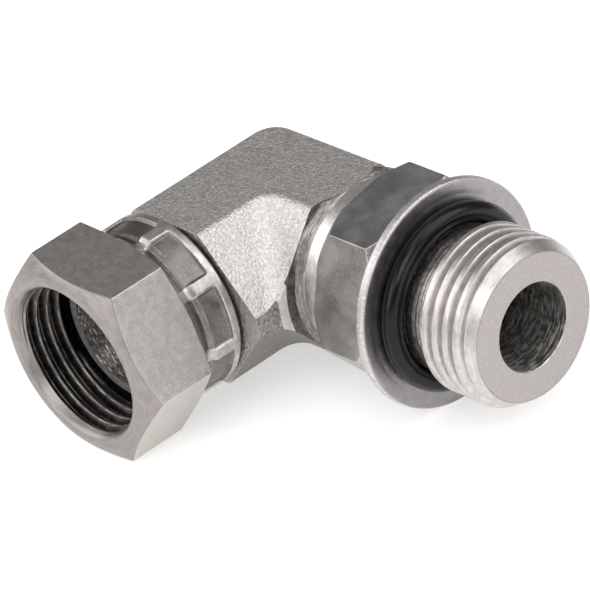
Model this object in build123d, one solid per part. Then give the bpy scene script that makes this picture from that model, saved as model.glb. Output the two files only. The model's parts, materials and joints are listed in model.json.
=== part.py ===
"""Hydraulic elbow adapter: a forged 90 degree body with a swivelling female end and an adjustable
O-ring stud end.

The origin is where the axes of the two legs cross. The stud points along +X, the mouth of the
swivel nut along -Y, and +Z is up, square to both legs. A "reach" is a distance from the origin
along a leg. All sizes are in millimetres.
"""

import os
from math import radians, tan

from build123d import *

# Thread shared by the stud and the swivel nut, 3/4-16
THREAD_MAJOR_DIAMETER = 19.05
THREAD_HOLE_DIAMETER = 17.46

# Oilways
STUD_OILWAY_DIAMETER = 10.0
SHANK_OILWAY_DIAMETER = 10.0
OILWAY_OVERRUN = 1.0
DRILL_POINT_ANGLE = 118.0
OILWAY_EDGE_CHAMFER = 0.35

# Forged block: the flats and the trim land, measured square from each leg's axis
FORGING_THICKNESS = 19.3
STUD_FLAT_OUTER_WIDTH = 4.9
STUD_FLAT_INNER_WIDTH = 5.6
SHANK_FLAT_OUTER_WIDTH = 4.7
SHANK_FLAT_INNER_WIDTH = 5.8
LAND_OUTER_WIDTH = 11.9
LAND_INNER_WIDTH = 12.9
LAND_CORNER_RADIUS = 6.0
SHOULDER_SLOPE_ANGLE = 50.0
RIDGE_RADIUS = 4.0
VALLEY_RADIUS = 3.4
FLAT_EDGE_RADIUS = 1.0
BLOCK_REACH_STUD = 13.2
BLOCK_REACH_SHANK = 16.0
END_RECESS_DIAMETER = 23.4
END_RECESS_DEPTH = 0.4

# Stud, from the block outwards
STUD_REACH = 39.2
ROOT_DIAMETER = 20.9
ROOT_LENGTH = 0.6
TOOL_GROOVE_WIDTH = 0.4
TOOL_GROOVE_DEPTH = 0.25
PLAIN_DIAMETER = 19.9
PLAIN_LENGTH = 3.7
PLAIN_EDGE_CHAMFER = 0.2
REAR_THREAD_LENGTH = 8.4
NECK_DIAMETER = 16.6
FRONT_THREAD_LENGTH = 8.2
FRONT_THREAD_RUN_IN = 0.45
TIP_FLAT_DIAMETER = 16.8
TIP_CHAMFER_LENGTH = 1.95

# Shank and seat nose inside the swivel nut, from the mouth side inwards
SEAT_DEPTH = 6.9
SEAT_RIM_DIAMETER = 13.8
SEAT_HALF_ANGLE = 37.0
NOSE_DIAMETER = 15.8
NOSE_LENGTH = 1.8
RETAINING_LAND_DIAMETER = 17.0
RETAINING_LAND_LENGTH = 2.5
SHANK_NECK_DIAMETER = 15.0
RUNNING_CLEARANCE = 0.06
NECK_CLEARANCE = 0.1

# Swivel nut
NUT_ACROSS_FLATS = 22.225
NUT_FACE_REACH = 31.8
NUT_HEX_LENGTH = 9.2
NUT_FACE_DIAMETER = 20.4
NUT_MOUTH_DIAMETER = 18.7
NUT_MOUTH_DEPTH = 1.1
NUT_THREAD_DEPTH = 6.8
NUT_RELIEF_DIAMETER = 19.3
NUT_FRONT_CHAMFER_ANGLE = 30.0
NUT_REAR_CHAMFER_ANGLE = 16.0
NUT_CORNER_ANGLE = 112.4
COLLAR_DIAMETER = 20.9
COLLAR_GAP = 0.3
COLLAR_RIM_LENGTH = 1.2
COLLAR_RIM_CHAMFER = 0.35
COLLAR_GROOVE_DIAMETER = 19.9
COLLAR_GROOVE_REACH = 20.6
COLLAR_GROOVE_WIDTH = 0.5
CRIMP_COUNT = 8
CRIMP_ANGLE = 36.0
CRIMP_FIRST_RIB_ANGLE = 33.8
CRIMP_DEPTH = 0.4

# Lock nut
LOCK_ACROSS_FLATS = 22.225
LOCK_REAR_GAP = 0.2
LOCK_THICKNESS = 8.3
LOCK_FACE_CUT = 1.4
LOCK_REAR_CHAMFER_ANGLE = 51.0
LOCK_FRONT_CHAMFER_ANGLE = 38.0
LOCK_CORNER_ANGLE = 71.1
LOCK_THREAD_CLEARANCE = 0.06

# Backup washer
WASHER_DIAMETER = 26.0
WASHER_GAP = 0.05
WASHER_THICKNESS = 1.15
WASHER_DISH_DEPTH = 0.3
WASHER_RIM_WIDTH = 1.8
WASHER_EDGE_CHAMFER = 0.15
WASHER_CLEARANCE = 0.06

# O-ring
O_RING_SECTION = 2.35
O_RING_CLEARANCE = 0.05

# Values that follow from the ones above
thread_radius = THREAD_MAJOR_DIAMETER / 2
neck_radius = NECK_DIAMETER / 2
half_thickness = FORGING_THICKNESS / 2
slope_run = half_thickness / tan(radians(SHOULDER_SLOPE_ANGLE))

plain_end = BLOCK_REACH_STUD + PLAIN_LENGTH
rear_thread_end = plain_end + REAR_THREAD_LENGTH
front_thread_start = STUD_REACH - FRONT_THREAD_LENGTH

seat_reach = NUT_FACE_REACH - SEAT_DEPTH
land_front = seat_reach - NOSE_LENGTH
land_rear = land_front - RETAINING_LAND_LENGTH
land_radius = RETAINING_LAND_DIAMETER / 2
shank_neck_radius = SHANK_NECK_DIAMETER / 2
shoulder_run = land_radius - shank_neck_radius

nut_rear = BLOCK_REACH_SHANK + COLLAR_GAP
nut_hex_rear = NUT_FACE_REACH - NUT_HEX_LENGTH
collar_radius = COLLAR_DIAMETER / 2
crimp_rear = nut_rear + COLLAR_RIM_LENGTH

lock_rear = plain_end + LOCK_REAR_GAP
lock_front = lock_rear + LOCK_THICKNESS
washer_rear = lock_front + WASHER_GAP
washer_front = washer_rear + WASHER_THICKNESS
o_ring_middle_radius = neck_radius + O_RING_CLEARANCE + O_RING_SECTION / 2
o_ring_reach = washer_front - WASHER_DISH_DEPTH + O_RING_SECTION / 2

# How far cutting tools reach past what they cut
TOOL_MARGIN = 5.0


def turned_on_stud(points):
    """A solid turned about the stud's axis from (reach, radius) points."""
    profile = make_face(Polyline(*points, close=True))
    return revolve(profile, Axis.X)


def turned_on_shank(points):
    """A solid turned about the swivel end's axis from (reach, radius) points."""
    profile = make_face(Polyline(*[(radius, -reach) for reach, radius in points], close=True))
    return revolve(profile, Axis.Y)


def stud_plane(reach):
    """The plane square to the stud; its local x is +Y and its local y is +Z."""
    return Plane(origin=(reach, 0, 0), x_dir=(0, 1, 0), z_dir=(1, 0, 0))


def shank_plane(reach):
    """The plane square to the swivel end; its local x is +X and its local y is +Z."""
    return Plane(origin=(0, -reach, 0), x_dir=(1, 0, 0), z_dir=(0, -1, 0))


def hexagon(across_flats, corner_angle):
    """A hexagon by its size across flats, with one corner at the given angle."""
    return RegularPolygon(across_flats / 2, 6, major_radius=False, rotation=corner_angle)


def sloped_bar(inner_width, outer_width):
    """A long bar along the stud's leg: flat top, both sides sloping down to the mid plane."""
    corners = [(-inner_width, half_thickness), (outer_width, half_thickness)]
    corners += [(outer_width + slope_run, 0), (-inner_width - slope_run, 0)]
    section = stud_plane(-STUD_REACH) * make_face(Polyline(*corners, close=True))
    return extrude(section, 2 * STUD_REACH)


def swap_legs(solid):
    """The same solid turned over so that the stud's leg lies on the shank's leg."""
    return mirror(solid, Plane(origin=(0, 0, 0), z_dir=(1, 1, 0)))


def slanted_edge(solid, stud_width, shank_width):
    """The edge where the slopes of both legs meet, by how far each lies from its leg's axis."""
    middle = (shank_width + slope_run / 2, -stud_width - slope_run / 2, half_thickness / 2)
    return solid.edges().sort_by_distance(middle)[0]


def forged_half():
    """The upper half of the block: a flat top and sloped shoulders, rounded where they meet."""
    stud_bar = sloped_bar(STUD_FLAT_INNER_WIDTH, STUD_FLAT_OUTER_WIDTH)
    shank_bar = swap_legs(sloped_bar(SHANK_FLAT_INNER_WIDTH, SHANK_FLAT_OUTER_WIDTH))
    stud_side = sloped_bar(STUD_REACH, STUD_FLAT_OUTER_WIDTH)
    shank_side = swap_legs(sloped_bar(STUD_REACH, SHANK_FLAT_OUTER_WIDTH))
    half = (stud_bar + shank_bar) & stud_side & shank_side
    valley = slanted_edge(half, STUD_FLAT_INNER_WIDTH, SHANK_FLAT_INNER_WIDTH)
    half = fillet(valley, VALLEY_RADIUS)
    ridge_middle = (-SHANK_FLAT_OUTER_WIDTH - slope_run / 2, STUD_FLAT_OUTER_WIDTH + slope_run / 2)
    ridge = half.edges().sort_by_distance((*ridge_middle, half_thickness / 2))[0]
    half = fillet(ridge, RIDGE_RADIUS)
    return fillet(half.faces().sort_by(Axis.Z)[-1].edges(), FLAT_EDGE_RADIUS)


def trimmed_outline():
    """The block's plan along the trim land, cut to length at both ends."""
    corners = [
        (-LAND_OUTER_WIDTH, -BLOCK_REACH_SHANK),
        (-LAND_OUTER_WIDTH, LAND_OUTER_WIDTH),
        (BLOCK_REACH_STUD, LAND_OUTER_WIDTH),
        (BLOCK_REACH_STUD, -LAND_INNER_WIDTH),
        (LAND_INNER_WIDTH, -LAND_INNER_WIDTH),
        (LAND_INNER_WIDTH, -BLOCK_REACH_SHANK),
    ]
    face = make_face(Polyline(*corners, close=True))
    outer_corner = face.vertices().sort_by_distance((-LAND_OUTER_WIDTH, LAND_OUTER_WIDTH))[0]
    return fillet(outer_corner, LAND_CORNER_RADIUS)


def end_recess():
    """The shallow recess turned into the block's end face round the stud."""
    floor = BLOCK_REACH_STUD - END_RECESS_DEPTH
    mouth = BLOCK_REACH_STUD + TOOL_MARGIN
    radius = END_RECESS_DIAMETER / 2
    return turned_on_stud([(floor, 0), (floor, radius), (mouth, radius), (mouth, 0)])


def forged_block():
    """Both halves of the forging, trimmed along the parting line and cut to length."""
    half = forged_half()
    plan = Pos(0, 0, -half_thickness) * trimmed_outline()
    trimmed = extrude(plan, FORGING_THICKNESS, dir=(0, 0, 1))
    block = (half + mirror(half, Plane.XY)) & trimmed
    return block - end_recess()


def stud_root():
    """The root cone, tool groove and plain part, left flat where the forging was too thin."""
    plain_radius = PLAIN_DIAMETER / 2
    root_end = BLOCK_REACH_STUD + ROOT_LENGTH
    groove_end = root_end + TOOL_GROOVE_WIDTH
    recess_floor = BLOCK_REACH_STUD - END_RECESS_DEPTH
    turned = turned_on_stud(
        [
            (recess_floor, 0),
            (recess_floor, ROOT_DIAMETER / 2),
            (BLOCK_REACH_STUD, ROOT_DIAMETER / 2),
            (root_end, plain_radius),
            (root_end, plain_radius - TOOL_GROOVE_DEPTH),
            (groove_end, plain_radius - TOOL_GROOVE_DEPTH),
            (groove_end, plain_radius),
            (plain_end - PLAIN_EDGE_CHAMFER, plain_radius),
            (plain_end, plain_radius - PLAIN_EDGE_CHAMFER),
            (plain_end, 0),
        ]
    )
    return turned & Box(2 * STUD_REACH, 2 * STUD_REACH, FORGING_THICKNESS)


def stud():
    """The turned stud past its plain part: rear thread, neck, front thread and tip."""
    thread_step = thread_radius - neck_radius
    return turned_on_stud(
        [
            (0, 0),
            (0, neck_radius),
            (plain_end, neck_radius),
            (plain_end, thread_radius),
            (rear_thread_end - thread_step, thread_radius),
            (rear_thread_end, neck_radius),
            (front_thread_start, neck_radius),
            (front_thread_start + FRONT_THREAD_RUN_IN, thread_radius),
            (STUD_REACH - TIP_CHAMFER_LENGTH, thread_radius),
            (STUD_REACH, TIP_FLAT_DIAMETER / 2),
            (STUD_REACH, 0),
        ]
    )


def shank():
    """The turned shank inside the swivel nut: neck, retaining land and nose."""
    nose_radius = NOSE_DIAMETER / 2
    return turned_on_shank(
        [
            (0, 0),
            (0, shank_neck_radius),
            (land_rear - shoulder_run, shank_neck_radius),
            (land_rear, land_radius),
            (land_front, land_radius),
            (land_front + land_radius - nose_radius, nose_radius),
            (seat_reach, nose_radius),
            (seat_reach, 0),
        ]
    )


def drill_point(radius):
    """The length of a drill's cone."""
    return radius / tan(radians(DRILL_POINT_ANGLE / 2))


def stud_oilway():
    """The drilled hole from the stud's tip past the corner, with its broken edge."""
    radius = STUD_OILWAY_DIAMETER / 2
    points = [
        (-OILWAY_OVERRUN - drill_point(radius), 0),
        (-OILWAY_OVERRUN, radius),
        (STUD_REACH - OILWAY_EDGE_CHAMFER, radius),
        (STUD_REACH, radius + OILWAY_EDGE_CHAMFER),
        (STUD_REACH + TOOL_MARGIN, radius + OILWAY_EDGE_CHAMFER),
        (STUD_REACH + TOOL_MARGIN, 0),
    ]
    return turned_on_stud(points)


def shank_oilway():
    """The drilled hole from the seat past the corner, opened by the conical seat."""
    radius = SHANK_OILWAY_DIAMETER / 2
    rim = SEAT_RIM_DIAMETER / 2
    seat_bottom = seat_reach - (rim - radius) / tan(radians(SEAT_HALF_ANGLE))
    points = [
        (-OILWAY_OVERRUN - drill_point(radius), 0),
        (-OILWAY_OVERRUN, radius),
        (seat_bottom, radius),
        (seat_reach, rim),
        (seat_reach + TOOL_MARGIN, rim),
        (seat_reach + TOOL_MARGIN, 0),
    ]
    return turned_on_shank(points)


def elbow_body():
    """The forging with both machined ends and the two oilways."""
    body = forged_block() + stud_root() + stud() + shank()
    return body - stud_oilway() - shank_oilway()


def nut_blank():
    """The swivel nut's turned outline, before the hexagon is cut."""
    corner = NUT_ACROSS_FLATS / 3**0.5
    flat = NUT_ACROSS_FLATS / 2
    beyond = corner + TOOL_MARGIN
    front_slope = tan(radians(NUT_FRONT_CHAMFER_ANGLE))
    rear_slope = tan(radians(NUT_REAR_CHAMFER_ANGLE))
    face_radius = NUT_FACE_DIAMETER / 2
    groove_radius = COLLAR_GROOVE_DIAMETER / 2
    groove_front = COLLAR_GROOVE_REACH + COLLAR_GROOVE_WIDTH
    collar_step = collar_radius - groove_radius
    points = [
        (nut_rear, 0),
        (nut_rear, collar_radius - COLLAR_RIM_CHAMFER),
        (nut_rear + COLLAR_RIM_CHAMFER, collar_radius),
        (COLLAR_GROOVE_REACH - collar_step, collar_radius),
        (COLLAR_GROOVE_REACH, groove_radius),
        (groove_front, groove_radius),
        (nut_hex_rear, flat),
        (nut_hex_rear + (beyond - flat) * rear_slope, beyond),
        (NUT_FACE_REACH - (beyond - face_radius) * front_slope, beyond),
        (NUT_FACE_REACH, face_radius),
        (NUT_FACE_REACH, 0),
    ]
    return turned_on_shank(points)


def nut_hollow():
    """The swivel nut's inside: mouth chamfer, thread bore, relief, land bore and pressed-in lip."""
    thread_hole = THREAD_HOLE_DIAMETER / 2
    thread_rear = NUT_FACE_REACH - NUT_THREAD_DEPTH
    relief = NUT_RELIEF_DIAMETER / 2
    mouth = NUT_MOUTH_DIAMETER / 2
    land_bore = land_radius + RUNNING_CLEARANCE
    lip = shank_neck_radius + NECK_CLEARANCE
    lip_front = land_rear - shoulder_run - RUNNING_CLEARANCE + (lip - shank_neck_radius)
    lip_back = crimp_rear + COLLAR_RIM_CHAMFER
    points = [
        (nut_rear - TOOL_MARGIN, 0),
        (nut_rear - TOOL_MARGIN, land_bore),
        (crimp_rear - COLLAR_RIM_CHAMFER, land_bore),
        (lip_back, lip),
        (lip_front, lip),
        (lip_front + land_bore - lip, land_bore),
        (land_front, land_bore),
        (land_front, relief),
        (thread_rear - (relief - thread_hole), relief),
        (thread_rear, thread_hole),
        (NUT_FACE_REACH - NUT_MOUTH_DEPTH, thread_hole),
        (NUT_FACE_REACH, mouth),
        (NUT_FACE_REACH + TOOL_MARGIN, mouth),
        (NUT_FACE_REACH + TOOL_MARGIN, 0),
    ]
    return turned_on_shank(points)


def crimp_cutters():
    """The recesses that the press jaws leave in the collar, between the ribs."""
    pressed_radius = collar_radius - CRIMP_DEPTH
    beyond = collar_radius + TOOL_MARGIN
    front = COLLAR_GROOVE_REACH + COLLAR_GROOVE_WIDTH / 2
    corners = [(pressed_radius, -crimp_rear), (beyond, -crimp_rear)]
    corners += [(beyond, -front), (pressed_radius, -front)]
    section = make_face(Polyline(*corners, close=True))
    panel = revolve(section, Axis.Y, revolution_arc=CRIMP_ANGLE)
    step = 360 / CRIMP_COUNT
    first = -CRIMP_FIRST_RIB_ANGLE - CRIMP_ANGLE - (step - CRIMP_ANGLE) / 2
    return [panel.rotate(Axis.Y, first + step * i) for i in range(CRIMP_COUNT)]


def swivel_nut():
    """The swivelling nut: chamfered hexagon with a crimped collar behind it."""
    flats = hexagon(NUT_ACROSS_FLATS, NUT_CORNER_ANGLE)
    bar = extrude(shank_plane(nut_rear) * flats, NUT_FACE_REACH - nut_rear)
    return (bar & nut_blank()) - nut_hollow() - crimp_cutters()


def lock_nut():
    """The lock nut on the stud's rear thread, chamfered on both faces."""
    flats = hexagon(LOCK_ACROSS_FLATS, LOCK_CORNER_ANGLE)
    bar = extrude(stud_plane(lock_rear) * flats, LOCK_THICKNESS)
    corner = LOCK_ACROSS_FLATS / 3**0.5
    face_radius = corner - LOCK_FACE_CUT
    beyond = corner + TOOL_MARGIN
    drop = beyond - face_radius
    rear_slope = tan(radians(LOCK_REAR_CHAMFER_ANGLE))
    front_slope = tan(radians(LOCK_FRONT_CHAMFER_ANGLE))
    hole = thread_radius + LOCK_THREAD_CLEARANCE
    blank = turned_on_stud(
        [
            (lock_rear, hole),
            (lock_rear, face_radius),
            (lock_rear + drop * rear_slope, beyond),
            (lock_front - drop * front_slope, beyond),
            (lock_front, face_radius),
            (lock_front, hole),
        ]
    )
    return bar & blank


def backup_washer():
    """The dished washer that backs the seal."""
    rim = WASHER_DIAMETER / 2
    seat = rim - WASHER_RIM_WIDTH
    hole = neck_radius + WASHER_CLEARANCE
    return turned_on_stud(
        [
            (washer_rear, hole),
            (washer_rear, rim - WASHER_EDGE_CHAMFER),
            (washer_rear + WASHER_EDGE_CHAMFER, rim),
            (washer_front - WASHER_EDGE_CHAMFER, rim),
            (washer_front, rim - WASHER_EDGE_CHAMFER),
            (washer_front - WASHER_DISH_DEPTH, seat),
            (washer_front - WASHER_DISH_DEPTH, hole),
        ]
    )


def o_ring():
    """The rubber seal that lies in the stud's neck against the washer."""
    section = Pos(o_ring_reach, o_ring_middle_radius) * Circle(O_RING_SECTION / 2)
    return revolve(section, Axis.X)


PARTS = {
    "elbow_body": elbow_body,
    "swivel_nut": swivel_nut,
    "lock_nut": lock_nut,
    "backup_washer": backup_washer,
    "o_ring": o_ring,
}

os.makedirs("parts", exist_ok=True)
for name, make in PARTS.items():
    export_step(make(), f"parts/{name}.step")
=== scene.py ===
"""Looks of a forged steel elbow adapter with a swivelling hexagon nut and an adjustable stud end.

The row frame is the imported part's own: the legs cross at the origin, the stud points along +X, the
swivel nut's mouth along -Y, and +Z is up. Sizes are written in millimetres and turned to metres
when a mesh is made. A "reach" is a distance from the origin along a leg, and a "grid" is an array
of (row, column, reach and radius) in mm.
"""

import json
import logging
import math
from dataclasses import dataclass, field
from enum import Enum

import bmesh
import bpy
import numpy as np
from mathutils import Matrix, Vector

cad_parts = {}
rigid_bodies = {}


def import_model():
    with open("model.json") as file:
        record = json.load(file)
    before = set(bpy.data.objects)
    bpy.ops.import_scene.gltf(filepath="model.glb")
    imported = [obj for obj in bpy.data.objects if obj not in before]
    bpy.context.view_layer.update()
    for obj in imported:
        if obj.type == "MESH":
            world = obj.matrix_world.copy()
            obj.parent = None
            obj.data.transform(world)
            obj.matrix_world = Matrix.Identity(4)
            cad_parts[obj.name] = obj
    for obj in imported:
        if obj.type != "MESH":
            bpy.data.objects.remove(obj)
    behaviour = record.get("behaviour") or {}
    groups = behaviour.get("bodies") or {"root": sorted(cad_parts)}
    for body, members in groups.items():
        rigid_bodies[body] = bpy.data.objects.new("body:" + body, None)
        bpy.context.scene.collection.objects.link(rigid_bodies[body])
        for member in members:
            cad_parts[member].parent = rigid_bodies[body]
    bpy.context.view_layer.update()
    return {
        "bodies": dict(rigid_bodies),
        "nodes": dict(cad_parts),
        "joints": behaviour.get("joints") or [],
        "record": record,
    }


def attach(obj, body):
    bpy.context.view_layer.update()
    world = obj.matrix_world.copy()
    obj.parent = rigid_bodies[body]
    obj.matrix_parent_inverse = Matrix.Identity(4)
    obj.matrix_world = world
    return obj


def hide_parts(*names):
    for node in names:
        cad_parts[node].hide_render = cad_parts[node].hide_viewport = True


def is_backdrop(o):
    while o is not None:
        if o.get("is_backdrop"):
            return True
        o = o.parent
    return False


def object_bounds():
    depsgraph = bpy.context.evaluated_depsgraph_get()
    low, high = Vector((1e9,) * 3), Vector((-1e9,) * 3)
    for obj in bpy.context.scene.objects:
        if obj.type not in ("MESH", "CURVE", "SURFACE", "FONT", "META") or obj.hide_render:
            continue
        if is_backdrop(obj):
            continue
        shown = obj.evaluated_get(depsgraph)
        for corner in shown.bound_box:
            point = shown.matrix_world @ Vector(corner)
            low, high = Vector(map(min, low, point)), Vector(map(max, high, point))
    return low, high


LOG = logging.getLogger("elbow_adapter")
MM = 0.001  # metres in a millimetre

# Sizes that several pieces share, in mm
PITCH = 1.5875  # 16 turns of thread to the inch
HEXAGON_SIZE = 22.225  # 7/8 inch across flats
OILWAY_RADIUS = 5.0
STUD_CUT = 28.0  # the reach at which the stud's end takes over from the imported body

# How finely the grids are drawn
CORNER_STEPS = 3  # spans in the arc of a rounded corner
CORNER_ROWS = CORNER_STEPS + 1
SIDE_SHARE = 0.45  # how much of a side one corner's arc may take up
THREAD_ROW = 0.07  # mm between the rows of a thread
COLUMN_STEP = 1.0  # degrees between columns away from the edges
COLUMN_GAP = 0.3  # least gap between an even column and one beside an edge, in steps
BESIDE_EDGE = np.array([-0.8, -0.4, -0.15, -0.05, 0.05, 0.15, 0.4, 0.8])  # degrees from an edge
SHADING_WEIGHT = 100  # the modifier's highest, at which the large faces set the shading

# Layers of noise in a finish's marks, patches and specks, and in moulded rubber
MARK_DETAIL, PATCH_DETAIL, SPECK_DETAIL, MOULD_DETAIL = 3.0, 4.0, 1.0, 2.0
# Noise values between which the patches' colour and gloss change, and those of a speck's border
PATCH_RANGE = (0.38, 0.62)
GLOSS_RANGE = (0.3, 0.7)
SPECK_BORDER = 0.06
EDGE_SAMPLES = 4


class Leg(Enum):
    """The two legs of the elbow: the axis of each and the two directions square to it."""

    STUD = ((1.0, 0.0, 0.0), (0.0, 1.0, 0.0), (0.0, 0.0, 1.0))
    SHANK = ((0.0, -1.0, 0.0), (1.0, 0.0, 0.0), (0.0, 0.0, 1.0))

    def place(self, reach: np.ndarray, radius: np.ndarray, angle: np.ndarray) -> np.ndarray:
        """Turns cylinder coordinates about this leg into points.

        Formula: axis times reach, plus radius times (across times cosine plus up times sine).

        Args:
            reach: distances along the leg, in mm.
            radius: distances from its axis, in mm.
            angle: angles about it in radians, right-handed about the outward direction.

        Returns:
            An array of the same shape with a last axis of x, y and z in metres.
        """
        axis, across, up = (np.array(v) for v in self.value)
        side = np.cos(angle)[..., None] * across + np.sin(angle)[..., None] * up
        return (reach[..., None] * axis + radius[..., None] * side) * MM

    def radial(self, points: np.ndarray) -> np.ndarray:
        """The distances of points from this leg's axis.

        Args:
            points: one x, y and z per row, in mm.

        Returns:
            One distance per point, in mm.
        """
        axis = np.array(self.value[0])
        along = points @ axis
        return np.linalg.norm(points - along[:, None] * axis, axis=1)


def linear(hex_colour: str) -> tuple[float, float, float, float]:
    """Turns an sRGB hex colour into the linear values that a shader takes.

    Formula: the sRGB curve, a straight line for the darkest shares and a power of 2.4 above them.

    Args:
        hex_colour: six hex digits with a leading #.

    Returns:
        Linear red, green and blue with an alpha of 1.
    """
    shares = [int(hex_colour[i : i + 2], 16) / 255 for i in (1, 3, 5)]
    low = [s / 12.92 for s in shares]
    high = [((s + 0.055) / 1.055) ** 2.4 for s in shares]
    return (*(lo if s <= 0.04045 else hi for s, lo, hi in zip(shares, low, high)), 1.0)


def add_node(
    tree: bpy.types.NodeTree, kind: str, settings: dict | None = None, **inputs: object
) -> bpy.types.Node:
    """Adds one shader node with its settings and links.

    Args:
        tree: the node tree that it goes into.
        kind: the node's type name.
        settings: properties of the node, by name.
        inputs: values or sockets for its inputs, by input name with spaces as underscores, or
            by position as i0, i1 and so on.

    Returns:
        The new node.
    """
    node = tree.nodes.new(kind)
    for name, value in (settings or {}).items():
        setattr(node, name, value)
    for name, value in inputs.items():
        by_place = name[0] == "i" and name[1:].isdigit()
        socket = node.inputs[int(name[1:])] if by_place else node.inputs[name.replace("_", " ")]
        if isinstance(value, bpy.types.NodeSocket):
            tree.links.new(value, socket)
        else:
            socket.default_value = value
    return node


def blank_tree(owner: bpy.types.Material | bpy.types.World) -> bpy.types.NodeTree:
    """Turns on the nodes of a material or world.

    Args:
        owner: the material or world.

    Returns:
        Its node tree, emptied.
    """
    owner.use_nodes = True
    owner.node_tree.nodes.clear()
    return owner.node_tree


def add_object(name: str, data: bpy.types.ID) -> bpy.types.Object:
    """Puts a mesh, lamp or camera into the scene.

    Args:
        name: the object's name.
        data: the mesh, lamp or camera.

    Returns:
        The new object, at the origin.
    """
    added = bpy.data.objects.new(name, data)
    bpy.context.scene.collection.objects.link(added)
    return added


class Grain(Enum):
    """Which way a surface was made, so which coordinates its fine marks follow."""

    BLASTED = "even in every direction"
    TURNED_STUD = "rings about the stud's axis"
    TURNED_SHANK = "rings about the swivel end's axis"


def grain_vector(tree: bpy.types.NodeTree, grain: Grain) -> bpy.types.NodeSocket:
    """The coordinates in metres that a finish's marks are drawn on.

    Turned marks depend only on the reach along the axis and the distance from it, so they run
    right round as rings, as a lathe tool leaves them.

    Args:
        tree: the material's node tree.
        grain: how the surface was made.

    Returns:
        A vector socket.
    """
    place = add_node(tree, "ShaderNodeTexCoord").outputs["Object"]
    if grain is Grain.BLASTED:
        return place
    split = add_node(tree, "ShaderNodeSeparateXYZ", Vector=place)
    along = split.outputs["X" if grain is Grain.TURNED_STUD else "Y"]
    across = split.outputs["Y" if grain is Grain.TURNED_STUD else "X"]
    squares = [
        add_node(tree, "ShaderNodeMath", {"operation": "MULTIPLY"}, i0=s, i1=s).outputs[0]
        for s in (across, split.outputs["Z"])
    ]
    total = add_node(tree, "ShaderNodeMath", {"operation": "ADD"}, i0=squares[0], i1=squares[1])
    radius = add_node(tree, "ShaderNodeMath", {"operation": "SQRT"}, i0=total.outputs[0])
    joined = add_node(tree, "ShaderNodeCombineXYZ", X=along, Y=radius.outputs[0])
    return joined.outputs[0]


def per_metre(size: float) -> float:
    """The texture scale at which a pattern's features lie a real size in mm apart."""
    return 1 / (size * MM)


@dataclass(frozen=True)
class MetalFinish:
    """A zinc-plated steel surface.

    The plating is a metal with a soft satin gloss. Its colour drifts between two near greys in
    patches, bright specks of zinc lie in it, and fine marks from how it was made catch the light.

    Attributes:
        name: the material's name.
        light: the patches' lighter grey.
        dark: the patches' darker grey.
        roughness: the middle roughness.
        roughness_spread: how far the patches depart from it.
        grain: how the surface was made.
        grain_size: how far apart the marks lie, in mm.
        grain_depth: how deep they are, in mm.
        patch_size: how far apart the patches lie, in mm.
        speck: the specks' colour.
        speck_size: how far apart the specks lie, in mm, along the way that they are drawn out.
        speck_over: the noise value over which a speck shows.
        edge_radius: how wide the edges look rounded, in mm, or 0 for not at all.
        streak: how often a turned speck's width goes into its length, less one.
    """

    name: str
    light: str
    dark: str
    roughness: float
    roughness_spread: float
    grain: Grain
    grain_size: float
    grain_depth: float
    patch_size: float
    speck: str
    speck_size: float
    speck_over: float
    edge_radius: float = 0.0
    streak: float = 1.0

    def speck_vector(self, tree: bpy.types.NodeTree) -> bpy.types.NodeSocket:
        """Coordinates for the specks, drawn out round the axis where a tool scratched them.

        Formula: the place, plus the streak times the reach and the distance from the axis.

        Args:
            tree: the material's node tree.

        Returns:
            A vector socket.
        """
        place = grain_vector(tree, Grain.BLASTED)
        if self.grain is Grain.BLASTED:
            return place
        rings = grain_vector(tree, self.grain)
        squeeze = (self.streak, self.streak, 0)
        settings = {"operation": "MULTIPLY_ADD"}
        drawn = add_node(tree, "ShaderNodeVectorMath", settings, i0=rings, i1=squeeze, i2=place)
        return drawn.outputs[0]

    def material(self) -> bpy.types.Material:
        """Builds the finish's material.

        Returns:
            The material, drawn on Object coordinates.
        """
        made = bpy.data.materials.new(self.name)
        tree = blank_tree(made)
        marks, patches, specks = (
            add_node(
                tree, "ShaderNodeTexNoise", Vector=vector, Scale=per_metre(size), Detail=detail
            ).outputs[0]
            for vector, size, detail in (
                (grain_vector(tree, self.grain), self.grain_size, MARK_DETAIL),
                (grain_vector(tree, Grain.BLASTED), self.patch_size, PATCH_DETAIL),
                (self.speck_vector(tree), self.speck_size, SPECK_DETAIL),
            )
        )
        speck_range = (self.speck_over, self.speck_over + SPECK_BORDER)
        colour = linear(self.dark)
        layers = ((patches, PATCH_RANGE, self.light), (specks, speck_range, self.speck))
        for pattern, (low, high), paler in layers:
            share = add_node(
                tree, "ShaderNodeMapRange", Value=pattern, From_Min=low, From_Max=high
            ).outputs[0]
            settings = {"data_type": "RGBA"}
            mixed = add_node(tree, "ShaderNodeMix", settings, i0=share, i6=colour, i7=linear(paler))
            colour = mixed.outputs[2]
        rough = add_node(
            tree,
            "ShaderNodeMapRange",
            Value=patches,
            From_Min=GLOSS_RANGE[0],
            From_Max=GLOSS_RANGE[1],
            To_Min=self.roughness - self.roughness_spread,
            To_Max=self.roughness + self.roughness_spread,
        )
        bump = add_node(
            tree, "ShaderNodeBump", Height=marks, Strength=1.0, Distance=self.grain_depth * MM
        )
        if self.edge_radius:
            rounded = add_node(
                tree, "ShaderNodeBevel", {"samples": EDGE_SAMPLES}, Radius=self.edge_radius * MM
            )
            tree.links.new(rounded.outputs[0], bump.inputs["Normal"])
        shader = add_node(
            tree,
            "ShaderNodeBsdfPrincipled",
            Base_Color=colour,
            Metallic=1.0,
            Roughness=rough.outputs[0],
            Normal=bump.outputs[0],
        )
        add_node(tree, "ShaderNodeOutputMaterial", Surface=shader.outputs[0])
        return made


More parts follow.
